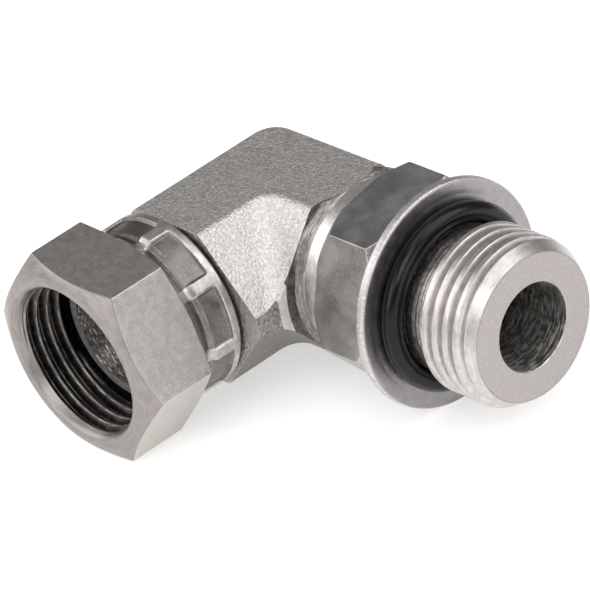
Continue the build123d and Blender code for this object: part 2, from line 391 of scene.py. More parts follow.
@dataclass(frozen=True)
class RubberFinish:
    """A moulded nitrile seal: black, smooth, with a low soft gloss and a faint moulding grain.

    Attributes:
        name: the material's name.
        colour: its one colour.
        roughness: the middle roughness.
        grain_size: how far apart the grain's bumps lie, in mm.
        grain_depth: how high they are, in mm.
        roughness_share: how far the grain departs from the middle roughness, as a share of it.
        ior: nitrile's index of refraction.
        gloss: strength of the mirror-like part; half is usual, and this matt seal has less.
    """

    name: str
    colour: str
    roughness: float
    grain_size: float
    grain_depth: float
    roughness_share: float = 0.2
    ior: float = 1.52
    gloss: float = 0.26

    def material(self) -> bpy.types.Material:
        """Builds the finish's material.

        Returns:
            The material, drawn on Object coordinates.
        """
        made = bpy.data.materials.new(self.name)
        tree = blank_tree(made)
        grain = add_node(
            tree,
            "ShaderNodeTexNoise",
            Vector=grain_vector(tree, Grain.BLASTED),
            Scale=per_metre(self.grain_size),
            Detail=MOULD_DETAIL,
        ).outputs[0]
        bump = add_node(
            tree, "ShaderNodeBump", Height=grain, Strength=1.0, Distance=self.grain_depth * MM
        )
        rough = add_node(
            tree,
            "ShaderNodeMapRange",
            Value=grain,
            To_Min=self.roughness * (1 - self.roughness_share),
            To_Max=self.roughness * (1 + self.roughness_share),
        )
        shader = add_node(
            tree,
            "ShaderNodeBsdfPrincipled",
            Base_Color=linear(self.colour),
            Roughness=rough.outputs[0],
            IOR=self.ior,
            Specular_IOR_Level=self.gloss,
            Normal=bump.outputs[0],
        )
        add_node(tree, "ShaderNodeOutputMaterial", Surface=shader.outputs[0])
        return made


Finish = MetalFinish | RubberFinish

# Forging, shot-blasted and zinc plated: an even sparkling grain. The real dents and crystals are
# too fine to show here, so on all blasted and plated surfaces they are drawn about 0.3 mm apart
FORGED = MetalFinish(
    "shot_blasted_zinc", "#d2cecb", "#b8b4b1", 0.45, 0.03, Grain.BLASTED, 0.3, 0.16, 0.35,
    "#f4f1ef", 0.2, 0.65, 0.12,
)
# Lower half of the forging: blasted zinc with painted shade, darker than the upper half
UNDERSIDE_SHADE = MetalFinish(
    "blasted_zinc_painted_shade", "#898582", "#736f6c", 0.5, 0.03, Grain.BLASTED, 0.34, 0.11, 0.3,
    "#c4c0bd", 0.16, 0.66, 0.12,
)
# Trim land, sheared along the parting line: darker and rougher than the blasted shoulders
SHEARED = MetalFinish(
    "sheared_zinc", "#b8b4b1", "#8d8986", 0.5, 0.05, Grain.BLASTED, 0.35, 0.08, 0.5,
    "#d8d4d1", 0.3, 0.62, 0.12,
)
# Plain part, root and rims turned bright on the lathe: fine tool rings about 0.16 mm apart
TURNED_STUD = MetalFinish(
    "bright_turned_zinc", "#d8d4d1", "#ccc8c5", 0.36, 0.03, Grain.TURNED_STUD, 0.16, 0.015, 0.5,
    "#f0ecea", 1.2, 0.64, 0.0, 6.0,
)
# End face of the forging beside the recess: faced matt, with painted light making it pale
FACED_END_PAINTED_LIGHT = MetalFinish(
    "faced_end_painted_light", "#f2efed", "#e6e3e0", 0.62, 0.03, Grain.BLASTED, 0.3, 0.03, 0.5,
    "#fbf9f8", 0.3, 0.62,
)
# Recess turned into the forging's end face: painted shade makes it dark, with coarse tool marks
# about 0.25 mm apart
RECESS_SHADE = MetalFinish(
    "recess_painted_shade", "#908c88", "#716d6a", 0.45, 0.05, Grain.TURNED_STUD, 0.25, 0.05, 0.5,
    "#aeaaa7", 1.4, 0.6, 0.0, 14.0,
)
# Thread of the stud: rolled satin, with rolling marks about 0.16 mm apart
STUD_THREAD = MetalFinish(
    "threaded_zinc_stud", "#c8c3c1", "#b7b2b0", 0.38, 0.03, Grain.TURNED_STUD, 0.16, 0.015, 1.0,
    "#d4cfcd", 1.4, 0.6, 0.0, 12.0,
)
# Tip of the stud, faced and then blasted dull
TIP = MetalFinish(
    "faced_zinc_tip", "#a9a3a2", "#a29c9b", 0.4, 0.02, Grain.BLASTED, 0.3, 0.02, 0.3,
    "#b2acab", 0.25, 0.62,
)
# Machined front of the swivel nut and bare shank: tool rings about 0.4 mm apart
TURNED_SHANK = MetalFinish(
    "turned_zinc_nut", "#98928f", "#8d8784", 0.42, 0.03, Grain.TURNED_SHANK, 0.4, 0.024, 1.2,
    "#9f9997", 2.4, 0.56, 0.0, 24.0,
)
# Crimped collar: plated zinc on its ribs, rim and groove, lighter than the panels between the ribs
COLLAR = MetalFinish(
    "plated_zinc_collar", "#bdb8b5", "#a6a19e", 0.38, 0.04, Grain.TURNED_SHANK, 0.3, 0.02, 0.9,
    "#e2ddda", 1.4, 0.62, 0.0, 6.0,
)
# Rim of the shank's nose: a painted highlight, a pale ring inside the nut's painted shade
NOSE_RIM_HIGHLIGHT = MetalFinish(
    "nose_rim_painted_highlight", "#d4d0cd", "#c0bcb9", 0.5, 0.03, Grain.TURNED_SHANK, 0.3, 0.02, 0.5,
    "#e6e2df", 1.4, 0.62, 0.0, 12.0,
)
# Neck beside the O-ring: coarser tool rings about 0.3 mm apart
NECK = MetalFinish(
    "turned_zinc_neck", "#c2bdbb", "#9c9795", 0.34, 0.04, Grain.TURNED_STUD, 0.3, 0.06, 0.5,
    "#f0ecea", 1.0, 0.62, 0.0, 6.0,
)
# Collar panels pressed in by the jaws: a painted dark reflection makes them darker than the ribs
PRESSED_SHADE = MetalFinish(
    "collar_panel_painted_shade", "#7f7b78", "#6c6865", 0.4, 0.04, Grain.BLASTED, 0.35, 0.025, 1.8,
    "#8d8986", 0.25, 0.62,
)
# Drilled oilway: dark inside, with bright scratches about 0.15 mm wide where the drill turned
DRILLED = MetalFinish(
    "drilled_zinc", "#b5b1ad", "#7a7673", 0.5, 0.06, Grain.TURNED_STUD, 0.3, 0.12, 0.6,
    "#ffffff", 2.2, 0.57, 0.0, 14.0,
)
# Conical seat and nose inside the nut: painted shade where little light gets in, with scratches
# about 0.1 mm wide
SEAT_SHADE = MetalFinish(
    "seat_painted_shade", "#5a5754", "#373533", 0.38, 0.06, Grain.TURNED_SHANK, 0.3, 0.05, 0.4,
    "#aeaaa7", 0.7, 0.61, 0.0, 6.0,
)
# Flanks and roots of the thread inside the nut: painted shade in the grooves
CUT_THREAD_SHADE = MetalFinish(
    "nut_thread_painted_shade", "#5c5957", "#454341", 0.34, 0.05, Grain.TURNED_SHANK, 0.25, 0.01, 0.8,
    "#8a8683", 1.2, 0.66, 0.0, 6.0,
)
# Drawn hexagon bar, zinc plated: smooth facets with faint clouds and a fine bright sparkle
HEXAGON = MetalFinish(
    "plated_hexagon_bar", "#beb9b4", "#b2ada8", 0.33, 0.03, Grain.BLASTED, 0.3, 0.03, 0.8,
    "#d2cecb", 0.18, 0.63,
)
# The lock nut's bar: duller, with broad clouds about 2.6 mm apart
LOCK_HEXAGON = MetalFinish(
    "dull_hexagon_bar", "#b0aeac", "#999796", 0.33, 0.04, Grain.BLASTED, 0.3, 0.03, 2.6,
    "#bcbab8", 0.18, 0.64,
)
# Pressed washer: satin plating with a fine grain; its face is darker as a painted reflection of the
# black O-ring, and its rounded rim is paler as a painted highlight
WASHER = MetalFinish(
    "plated_washer", "#a29e9f", "#979394", 0.39, 0.03, Grain.BLASTED, 0.25, 0.03, 1.2,
    "#aaa6a7", 0.2, 0.62,
)
WASHER_RIM_HIGHLIGHT = MetalFinish(
    "washer_rim_painted_highlight", "#cbc7c7", "#b8b4b4", 0.44, 0.03, Grain.BLASTED, 0.25, 0.03, 0.5,
    "#e4e0e0", 0.2, 0.62,
)
RUBBER = RubberFinish("nitrile_rubber", "#060404", 0.24, 0.3, 0.004)


def full_circle(count: int) -> np.ndarray:
    """Angles in radians of a number of columns spread evenly round an axis."""
    return np.linspace(0, 2 * np.pi, count, endpoint=False)


def ring_mesh(name: str, leg: Leg, grid: np.ndarray, angle: np.ndarray) -> bpy.types.Mesh:
    """Makes a closed ring-shaped mesh from a profile carried round a leg's axis.

    Formula: row i and column j of the grid lie at the reach and radius of grid[i, j] and at
    angle[j]; rows and columns both close on themselves, so the surface is a ring with no border.

    Args:
        name: the mesh's name.
        leg: the leg whose axis the ring goes round.
        grid: the profile at each column.
        angle: the columns' angles in radians.

    Returns:
        The mesh, with its faces outwards.
    """
    rows, columns = grid.shape[:2]
    points = leg.place(grid[..., 0], grid[..., 1], np.broadcast_to(angle, (rows, columns)))
    index = np.arange(rows * columns).reshape(rows, columns)
    down, right = np.roll(index, -1, 0), np.roll(index, -1, 1)
    quads = np.stack([index, down, np.roll(down, -1, 1), right], axis=-1).reshape(-1, 4)
    points = points.reshape(-1, 3)
    corners = points[quads]
    fan = np.cross(corners[:, 1] - corners[:, 0], corners[:, 2] - corners[:, 0])
    fan += np.cross(corners[:, 2] - corners[:, 0], corners[:, 3] - corners[:, 0])
    if np.sum(fan * corners.mean(1)) < 0:
        quads = quads[:, ::-1]
    mesh = bpy.data.meshes.new(name)
    mesh.from_pydata(points.tolist(), [], quads.tolist())
    mesh.shade_smooth()
    return mesh


def softened(
    points: np.ndarray, setback: float | np.ndarray, steps: int = CORNER_STEPS
) -> np.ndarray:
    """Rounds each corner of a closed profile.

    Formula: a corner gives way to a quadratic Bezier arc from a point that lies the setback before
    it to one that lies the setback after it, or the side's share where that is shorter.

    Args:
        points: a grid with one row per corner.
        setback: how far from the corner its arc begins, in mm: one value, or one for each corner.
        steps: how many spans each arc has.

    Returns:
        The rounded grid, with steps + 1 rows for each corner.
    """
    before, after = np.roll(points, 1, 0) - points, np.roll(points, -1, 0) - points
    wanted = np.broadcast_to(setback, (len(points),))[:, None, None]
    sides = []
    for side in (before, after):
        length = np.linalg.norm(side, axis=-1, keepdims=True)
        taken = np.minimum(wanted, SIDE_SHARE * length)
        sides.append(side / np.maximum(length, np.finfo(float).tiny) * taken)
    share = np.linspace(0, 1, steps + 1)[None, :, None, None]
    first, last = sides[0][:, None], sides[1][:, None]
    arc = points[:, None] + (1 - share) ** 2 * first + share**2 * last
    return arc.reshape(-1, *points.shape[1:])


def profile(columns: int, *corners: tuple) -> np.ndarray:
    """Stacks corners whose reach and radius are numbers or one value per column.

    Args:
        columns: how many columns the grid has.
        corners: pairs of reach and radius.

    Returns:
        A grid with one row per corner.
    """
    rows = [np.stack([np.broadcast_to(v, (columns,)) for v in pair], -1) for pair in corners]
    return np.array(rows, float)


def columns_around(edges: np.ndarray) -> np.ndarray:
    """Angles for a grid's columns: evenly spread, and denser at edges that run along the axis.

    Args:
        edges: angles of the edges in degrees.

    Returns:
        Sorted angles in radians.
    """
    even = np.arange(0, 360, COLUMN_STEP)
    near = (edges[:, None] + BESIDE_EDGE[None, :]).ravel() % 360
    gap = np.abs((even[:, None] - near[None, :] + 180) % 360 - 180).min(1)
    kept = even[gap > COLUMN_GAP * COLUMN_STEP]
    return np.radians(np.unique(np.round(np.concatenate([kept, near]), 4)))


@dataclass(frozen=True)
class Hexagon:
    """A hexagon with slightly rounded corners, as drawn bar has."""

    across_flats: float
    corner_angle: float
    corner_sharpness: float = 400.0

    def corners(self) -> np.ndarray:
        """The corners' angles in degrees."""
        return self.corner_angle + 60.0 * np.arange(6)

    def radius(self, angle: np.ndarray) -> np.ndarray:
        """The distance from the axis to the hexagon's side.

        Formula: half the size across flats over a root of the sum of powers, both to the corner
        sharpness, of the cosines of the angles to the six flats.

        Args:
            angle: angles in radians.

        Returns:
            Distances in mm.
        """
        flats = np.radians(self.corners() + 30.0)
        cosines = np.maximum(np.cos(angle[:, None] - flats[None, :]), 0.0)
        total = (cosines**self.corner_sharpness).sum(1) ** (1 / self.corner_sharpness)
        return self.across_flats / 2 / total


@dataclass(frozen=True)
class Thread:
    """A right-handed 60 degree screw thread, with its flanks run softly into crest and root.

    The crest's and root's shares are of half a pitch, and the softness is the share of a smooth
    step in the flank.
    """

    crest_radius: float
    depth: float
    pitch: float
    valley_reach: float
    crest_share: float = 0.2
    root_share: float = 0.16
    softness: float = 0.35

    def surface(self, rows: np.ndarray, angle: np.ndarray) -> tuple[np.ndarray, np.ndarray]:
        """The thread's reach and radius at each row and column.

        Formula: the share of a pitch from the nearest valley, reach over pitch less the angle over
        a full turn, climbs from root to crest along a smooth step. A negative depth makes the
        grooves go outwards, as inside a nut.

        Args:
            rows: the rows' reaches in mm.
            angle: the columns' angles in radians.

        Returns:
            The reach and the radius in mm, each as (row, column).
        """
        reach = np.broadcast_to(rows[:, None], (len(rows), len(angle)))
        turns = (reach - self.valley_reach) / self.pitch - angle / (2 * np.pi)
        from_valley = 2 * np.abs(turns - np.round(turns))
        climb = (from_valley - self.root_share) / (1 - self.crest_share - self.root_share)
        climb = np.clip(climb, 0, 1)
        flank = (1 - self.softness) * climb + self.softness * climb**2 * (3 - 2 * climb)
        return reach, self.crest_radius - self.depth * (1 - flank)


def face_vectors(mesh: bpy.types.Mesh, kind: str) -> np.ndarray:
    """Reads a vector of every face.

    Args:
        mesh: the mesh.
        kind: "center" for the faces' centres in metres, or "normal" for their directions.

    Returns:
        One x, y and z per face.
    """
    values = np.zeros(len(mesh.polygons) * 3)
    mesh.polygons.foreach_get(kind, values)
    return values.reshape(-1, 3)


def dress(mesh: bpy.types.Mesh, finishes: list[Finish], *rules: tuple) -> None:
    """Gives each face one of the piece's finishes.

    Args:
        mesh: the piece's mesh.
        finishes: the piece's finishes; the first covers every face that no rule takes.
        rules: pairs of a mask over the faces and a finish; a later pair goes over an earlier one.
    """
    kind = np.zeros(len(mesh.polygons), np.int32)
    for mask, finish in rules:
        kind[mask] = finishes.index(finish)
    mesh.polygons.foreach_set("material_index", kind)


def show(
    mesh: bpy.types.Mesh, body: str, slot: str, finishes: list[Finish], *stands_for: str
) -> bpy.types.Object:
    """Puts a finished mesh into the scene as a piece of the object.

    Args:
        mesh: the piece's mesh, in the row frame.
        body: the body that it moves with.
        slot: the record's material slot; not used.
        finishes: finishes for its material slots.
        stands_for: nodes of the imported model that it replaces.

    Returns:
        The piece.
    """
    piece = add_object(mesh.name, mesh)
    for finish in finishes:
        piece.data.materials.append(finish.material())
    evened = piece.modifiers.new("even_shading", "WEIGHTED_NORMAL")
    evened.weight = SHADING_WEIGHT
    evened.keep_sharp = True
    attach(piece, body)
    if stands_for:
        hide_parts(*stands_for)
    LOG.info("%s: %d faces on body %s", piece.name, len(mesh.polygons), body)
    return piece


@dataclass
class SwivelEnd:
    """The swivelling nut: a chamfered hexagon, a crimped collar behind it and a thread inside.

    Sizes are in mm and angles in degrees.
    """

    hexagon: Hexagon = Hexagon(HEXAGON_SIZE, 112.4)
    rear: float = 16.3
    front: float = 31.8
    hex_rear: float = 22.6
    face_radius: float = 10.2
    mouth_radius: float = 9.35
    mouth_depth: float = 1.1
    mouth_edge: float = 0.8
    thread_start: float = 0.9
    face_edge: float = 0.8
    front_chamfer: float = 30.0
    rear_chamfer: float = 16.0
    least_chamfer: float = 0.03
    collar_radius: float = 10.45
    collar_chamfer: float = 0.35
    groove_radius: float = 9.95
    groove_rear: float = 20.6
    groove_front: float = 21.1
    groove_share: float = 0.5  # of the crimp's depth that the groove follows
    collar_end: float = 21.8  # the reach up to which faces have the collar's finish
    crimp_rear: float = 17.5
    crimp_run: float = 0.25
    crimp_depth: float = 0.4
    crimp_blend: float = 1.6
    crimp_count: int = 8
    crimp_angle: float = 36.0
    first_rib: float = 33.8
    land_bore: float = 8.56
    lip_radius: float = 7.6
    lip_front: float = 19.64
    lip_rear: float = 17.85
    relief_radius: float = 9.65
    relief_rear: float = 23.1
    thread_rear: float = 25.0
    thread: Thread = Thread(8.73, -0.9, PITCH, 29.0, 0.12)
    start_slope: float = 2.0  # how steeply the first groove opens
    run_out: float = 0.9
    crest_line: float = 0.06  # depth down to which a crest keeps the turned finish; deeper faces take painted shade
    bore_slack: float = 0.1
    turned_facing: float = 0.3  # least share of a turned face's direction along the axis
    edge: float = 0.14

    def angles(self) -> np.ndarray:
        """The columns, which are denser at the hexagon's corners and at the ribs' edges.

        Returns:
            Angles in radians.
        """
        step = 360.0 / self.crimp_count
        ribs = self.first_rib + step * np.arange(self.crimp_count)
        half = (step - self.crimp_angle) / 2
        edges = np.concatenate([self.hexagon.corners(), ribs - half, ribs + half])
        return columns_around(edges)

    def pressed(self, angle: np.ndarray) -> np.ndarray:
        """How far the press jaws sank in.

        Formula: the angle past a rib's edge over the blend, plus a half, held from 0 to 1.

        Args:
            angle: angles in radians.

        Returns:
            0 on a rib and 1 between the ribs, for each angle.
        """
        step = 2 * np.pi / self.crimp_count
        from_rib = (angle - math.radians(self.first_rib)) / step
        off = np.abs(from_rib - np.round(from_rib)) * step
        half = (step - math.radians(self.crimp_angle)) / 2
        blend = math.radians(self.crimp_blend)
        return np.clip((off - half) / blend + 0.5, 0, 1)

    def outside(self, angle: np.ndarray) -> np.ndarray:
        """The outer corners of the profile, from the rear face to the mouth.

        Formula: each chamfer's run is the hexagon's rise over its inner end times the tangent of
        the chamfer's angle, and the collar's radius is less by the crimp's depth where it is
        pressed.

        Args:
            angle: the columns' angles in radians.

        Returns:
            A grid with one row per corner.
        """
        hexagon = self.hexagon.radius(angle)
        flat = self.hexagon.across_flats / 2
        front_run = (hexagon - self.face_radius) * math.tan(math.radians(self.front_chamfer))
        rear_run = (hexagon - flat) * math.tan(math.radians(self.rear_chamfer))
        front_run, rear_run = (np.maximum(r, self.least_chamfer) for r in (front_run, rear_run))
        collar = self.collar_radius
        pressed = collar - self.crimp_depth * self.pressed(angle)
        step = collar - self.groove_radius
        neck = self.groove_radius - self.groove_share * (collar - pressed)
        return profile(
            len(angle),
            (self.rear, self.land_bore),
            (self.rear, collar - self.collar_chamfer),
            (self.rear + self.collar_chamfer, collar),
            (self.crimp_rear, collar),
            (self.crimp_rear + self.crimp_run, pressed),
            (self.groove_rear - step, pressed),
            (self.groove_rear, neck),
            (self.groove_front, neck),
            (self.hex_rear, flat),
            (self.hex_rear + rear_run, hexagon),
            (self.front - front_run, hexagon),
            (self.front, self.face_radius),
            (self.front, self.mouth_radius),
            (self.front - self.mouth_depth, self.thread.crest_radius),
        )

    def inside(self, angle: np.ndarray) -> np.ndarray:
        """The inner corners behind the thread, from the relief to the rear face.

        Formula: the lip's two slopes run as far along the axis as they rise from it.

        Args:
            angle: the columns' angles in radians.

        Returns:
            A grid with one row per corner.
        """
        lip_step = self.land_bore - self.lip_radius
        return profile(
            len(angle),
            (self.thread_rear - self.run_out, self.relief_radius),
            (self.relief_rear, self.relief_radius),
            (self.relief_rear, self.land_bore),
            (self.lip_front + lip_step, self.land_bore),
            (self.lip_front, self.lip_radius),
            (self.lip_rear, self.lip_radius),
            (self.lip_rear - lip_step, self.land_bore),
        )

    def threaded(self, start: float, angle: np.ndarray) -> np.ndarray:
        """The rows of the bore from the mouth back to the relief.

        Formula: the thread's radius, but not less than the lead-in cone at the mouth or the
        run-out cone at the relief, and not more than a slope that opens the first groove.

        Args:
            start: the reach of the row before the first, in mm.
            angle: the columns' angles in radians.

        Returns:
            A grid.
        """
        rows = np.arange(start, self.thread_rear, -THREAD_ROW)[1:]
        reach, radius = self.thread.surface(rows, angle)
        crest = self.thread.crest_radius
        opening = (self.mouth_radius - crest) / self.mouth_depth
        lead_in = np.maximum(self.mouth_radius - (self.front - reach) * opening, crest)
        run_out = self.relief_radius - (reach - self.thread_rear + self.run_out)
        radius = np.maximum(radius, np.maximum(lead_in, run_out))
        past_start = np.maximum(self.front - self.thread_start - reach, 0.0)
        radius = np.minimum(radius, lead_in + self.start_slope * past_start)
        return np.stack([reach, radius], -1)

    def build(self) -> bpy.types.Object:
        """Makes the nut and dresses it.

        Formula: the rounded profile of the outside and inside, with the thread's rows in place of
        the corner where they meet in the mouth.

        Returns:
            The piece.
        """
        angle = self.angles()
        outside = self.outside(angle)
        corners = np.concatenate([outside, self.inside(angle)])
        setback = np.full(len(corners), self.edge)
        meeting = len(outside) - 1
        setback[meeting - 2 : meeting] = self.face_edge, self.mouth_edge
        rounded = softened(corners, setback)
        split = CORNER_ROWS * meeting
        threaded = self.threaded(rounded[split - 1, 0, 0], angle)
        grid = np.concatenate([rounded[:split], threaded, rounded[split + CORNER_ROWS :]])
        mesh = ring_mesh("swivel_nut_dressed", Leg.SHANK, grid, angle)
        centres = face_vectors(mesh, "center") / MM
        radial = Leg.SHANK.radial(centres)
        reach, facing = -centres[:, 1], -face_vectors(mesh, "normal")[:, 1]
        around = np.arctan2(centres[:, 2], centres[:, 0])
        turned = (facing > self.turned_facing) | (radial < self.face_radius)
        collar = reach < self.collar_end
        # The panels between the ribs take a painted dark reflection
        jawed = collar & (reach > self.crimp_rear) & (self.pressed(around) > 0.5)
        bored = radial < self.relief_radius + self.bore_slack
        bored &= reach < self.front - self.mouth_depth
        # Flanks and roots deeper than the crest line take painted shade
        flanks = bored & (np.abs(radial - self.thread.crest_radius) > self.crest_line)
        finishes = [HEXAGON, TURNED_SHANK, PRESSED_SHADE, CUT_THREAD_SHADE, COLLAR]
        rules = [(turned, TURNED_SHANK), (collar, COLLAR), (jawed, PRESSED_SHADE), (flanks, CUT_THREAD_SHADE)]
        dress(mesh, finishes, *rules)
        return show(mesh, "swivel", "nut_steel", finishes, "swivel_nut")


@dataclass
class LockNut:
    """The lock nut on the stud's rear thread: a hexagon chamfered on both faces.

    Sizes are in mm and angles in degrees.
    """

    hexagon: Hexagon = Hexagon(HEXAGON_SIZE, 71.1)
    rear: float = 17.1
    front: float = 25.4
    face_cut: float = 1.4
    rear_chamfer: float = 51.0
    front_chamfer: float = 38.0
    least_chamfer: float = 0.04
    bore_radius: float = 9.585
    edge: float = 0.14

    def build(self) -> bpy.types.Object:
        """Makes the nut and dresses it.

        Formula: each chamfer's run is the hexagon's rise over the face's rim times the tangent of
        the chamfer's angle.

        Returns:
            The piece.
        """
        angle = columns_around(self.hexagon.corners())
        hexagon = self.hexagon.radius(angle)
        face = self.hexagon.across_flats / math.sqrt(3) - self.face_cut
        drop = np.maximum(hexagon - face, 0.0)
        rear_run, front_run = (
            np.maximum(drop * math.tan(math.radians(chamfer)), self.least_chamfer)
            for chamfer in (self.rear_chamfer, self.front_chamfer)
        )
        rim = np.minimum(face, hexagon - self.least_chamfer)
        corners = profile(
            len(angle),
            (self.rear, self.bore_radius),
            (self.rear, rim),
            (self.rear + rear_run, hexagon),
            (self.front - front_run, hexagon),
            (self.front, rim),
            (self.front, self.bore_radius),
        )
        mesh = ring_mesh("lock_nut_dressed", Leg.STUD, softened(corners, self.edge), angle)
        return show(mesh, "lock", "nut_steel", [LOCK_HEXAGON], "lock_nut")


@dataclass
class Washer:
    """The dished backup washer. Sizes are in mm."""

    rear: float = 25.45
    thickness: float = 1.15
    rim_radius: float = 13.0
    seat_radius: float = 11.2
    dish: float = 0.3
    hole_radius: float = 8.36
    edge: float = 0.22
    rim_edge: float = 0.45
    corner_steps: int = 5
    columns: int = 288

    def build(self) -> bpy.types.Object:
        """Makes the washer and dresses it.

        Formula: a flat ring whose front is lower by the dish inside the seat's radius.

        Returns:
            The piece.
        """
        angle = full_circle(self.columns)
        front = self.rear + self.thickness
        corners = profile(
            len(angle),
            (self.rear, self.hole_radius),
            (self.rear, self.rim_radius),
            (front, self.rim_radius),
            (front - self.dish, self.seat_radius),
            (front - self.dish, self.hole_radius),
        )
        setback = np.array([self.edge, self.edge, self.rim_edge, self.edge, self.edge])
        grid = softened(corners, setback, self.corner_steps)
        mesh = ring_mesh("backup_washer_dressed", Leg.STUD, grid, angle)
        radial = Leg.STUD.radial(face_vectors(mesh, "center") / MM)
        finishes = [WASHER, WASHER_RIM_HIGHLIGHT]
        # The rounded rim takes a painted highlight
        dress(mesh, finishes, (radial > self.rim_radius - self.edge, WASHER_RIM_HIGHLIGHT))
        return show(mesh, "seal", "washer_steel", finishes, "backup_washer")


@dataclass
class SealRing:
    """The rubber O-ring, a ring of round section. Sizes are in mm."""

    section: float = 2.35
    middle_radius: float = 9.525
    reach: float = 27.475
    columns: int = 288
    rows: int = 40

    def build(self) -> bpy.types.Object:
        """Makes the ring and dresses it.

        Formula: the middle's reach and radius, plus half the section times the cosine and sine of
        the turn round the section.

        Returns:
            The piece.
        """
        turn = full_circle(self.rows)[:, None]
        half = self.section / 2
        shape = (self.rows, self.columns)
        reach = np.broadcast_to(self.reach + half * np.cos(turn), shape)
        radius = np.broadcast_to(self.middle_radius + half * np.sin(turn), shape)
        grid = np.stack([reach, radius], -1)
        mesh = ring_mesh("o_ring_dressed", Leg.STUD, grid, full_circle(self.columns))
        return show(mesh, "seal", "seal_rubber", [RUBBER], "o_ring")


@dataclass
class StudEnd:
    """The stud's front: neck, thread, chamfered tip and the oilway's mouth. Sizes are in mm."""

    rear: float = STUD_CUT
    neck_radius: float = 8.3
    thread_rear: float = 31.0
    run_in: float = 0.45
    tip: float = 39.2
    tip_flat_radius: float = 8.4
    tip_chamfer: float = 1.95
    bore_radius: float = OILWAY_RADIUS
    bore_edge: float = 0.12
    edge: float = 0.12
    thread: Thread = Thread(9.525, 0.82, PITCH, 33.0 - PITCH / 2, 0.4, 0.08, 0.7)
    reach_slack: float = 0.05
    bore_slack: float = 0.02
    columns: int = 420

    def build(self) -> bpy.types.Object:
        """Makes the stud's end and dresses it.

        Formula: the thread's radius, but not more than the cone that climbs from the neck or the
        cone that falls to the tip, closed by the rounded corners of the neck, tip and oilway.

        Returns:
            The piece.
        """
        angle = full_circle(self.columns)
        rows = np.arange(self.thread_rear + THREAD_ROW, self.tip, THREAD_ROW)
        reach, radius = self.thread.surface(rows, angle)
        climb = (self.thread.crest_radius - self.neck_radius) / self.run_in
        fall = (self.thread.crest_radius - self.tip_flat_radius) / self.tip_chamfer
        radius = np.minimum(radius, self.neck_radius + (reach - self.thread_rear) * climb)
        radius = np.minimum(radius, self.tip_flat_radius + (self.tip - reach) * fall)
        thread = np.stack([reach, radius], -1)
        behind = profile(
            len(angle),
            (self.rear, self.bore_radius),
            (self.rear, self.neck_radius),
            (self.thread_rear, self.neck_radius),
        )
        ahead = profile(
            len(angle),
            (self.tip, self.tip_flat_radius),
            (self.tip, self.bore_radius + self.bore_edge),
            (self.tip - self.bore_edge, self.bore_radius),
        )
        ends = softened(np.concatenate([behind, ahead]), self.edge)
        split = CORNER_ROWS * len(behind)
        grid = np.concatenate([ends[:split], thread, ends[split:]])
        mesh = ring_mesh("stud_thread", Leg.STUD, grid, angle)
        centres = face_vectors(mesh, "center") / MM
        reach, radial = centres[:, 0], Leg.STUD.radial(centres)
        in_neck = reach < self.thread_rear + self.reach_slack
        in_bore = radial < self.bore_radius + self.bore_slack
        on_tip = (reach > self.tip - self.reach_slack) & ~in_bore
        finishes = [STUD_THREAD, DRILLED, NECK, TIP]
        dress(mesh, finishes, (in_neck, NECK), (in_bore, DRILLED), (on_tip, TIP))
        return show(mesh, "elbow", "forged_steel", finishes)


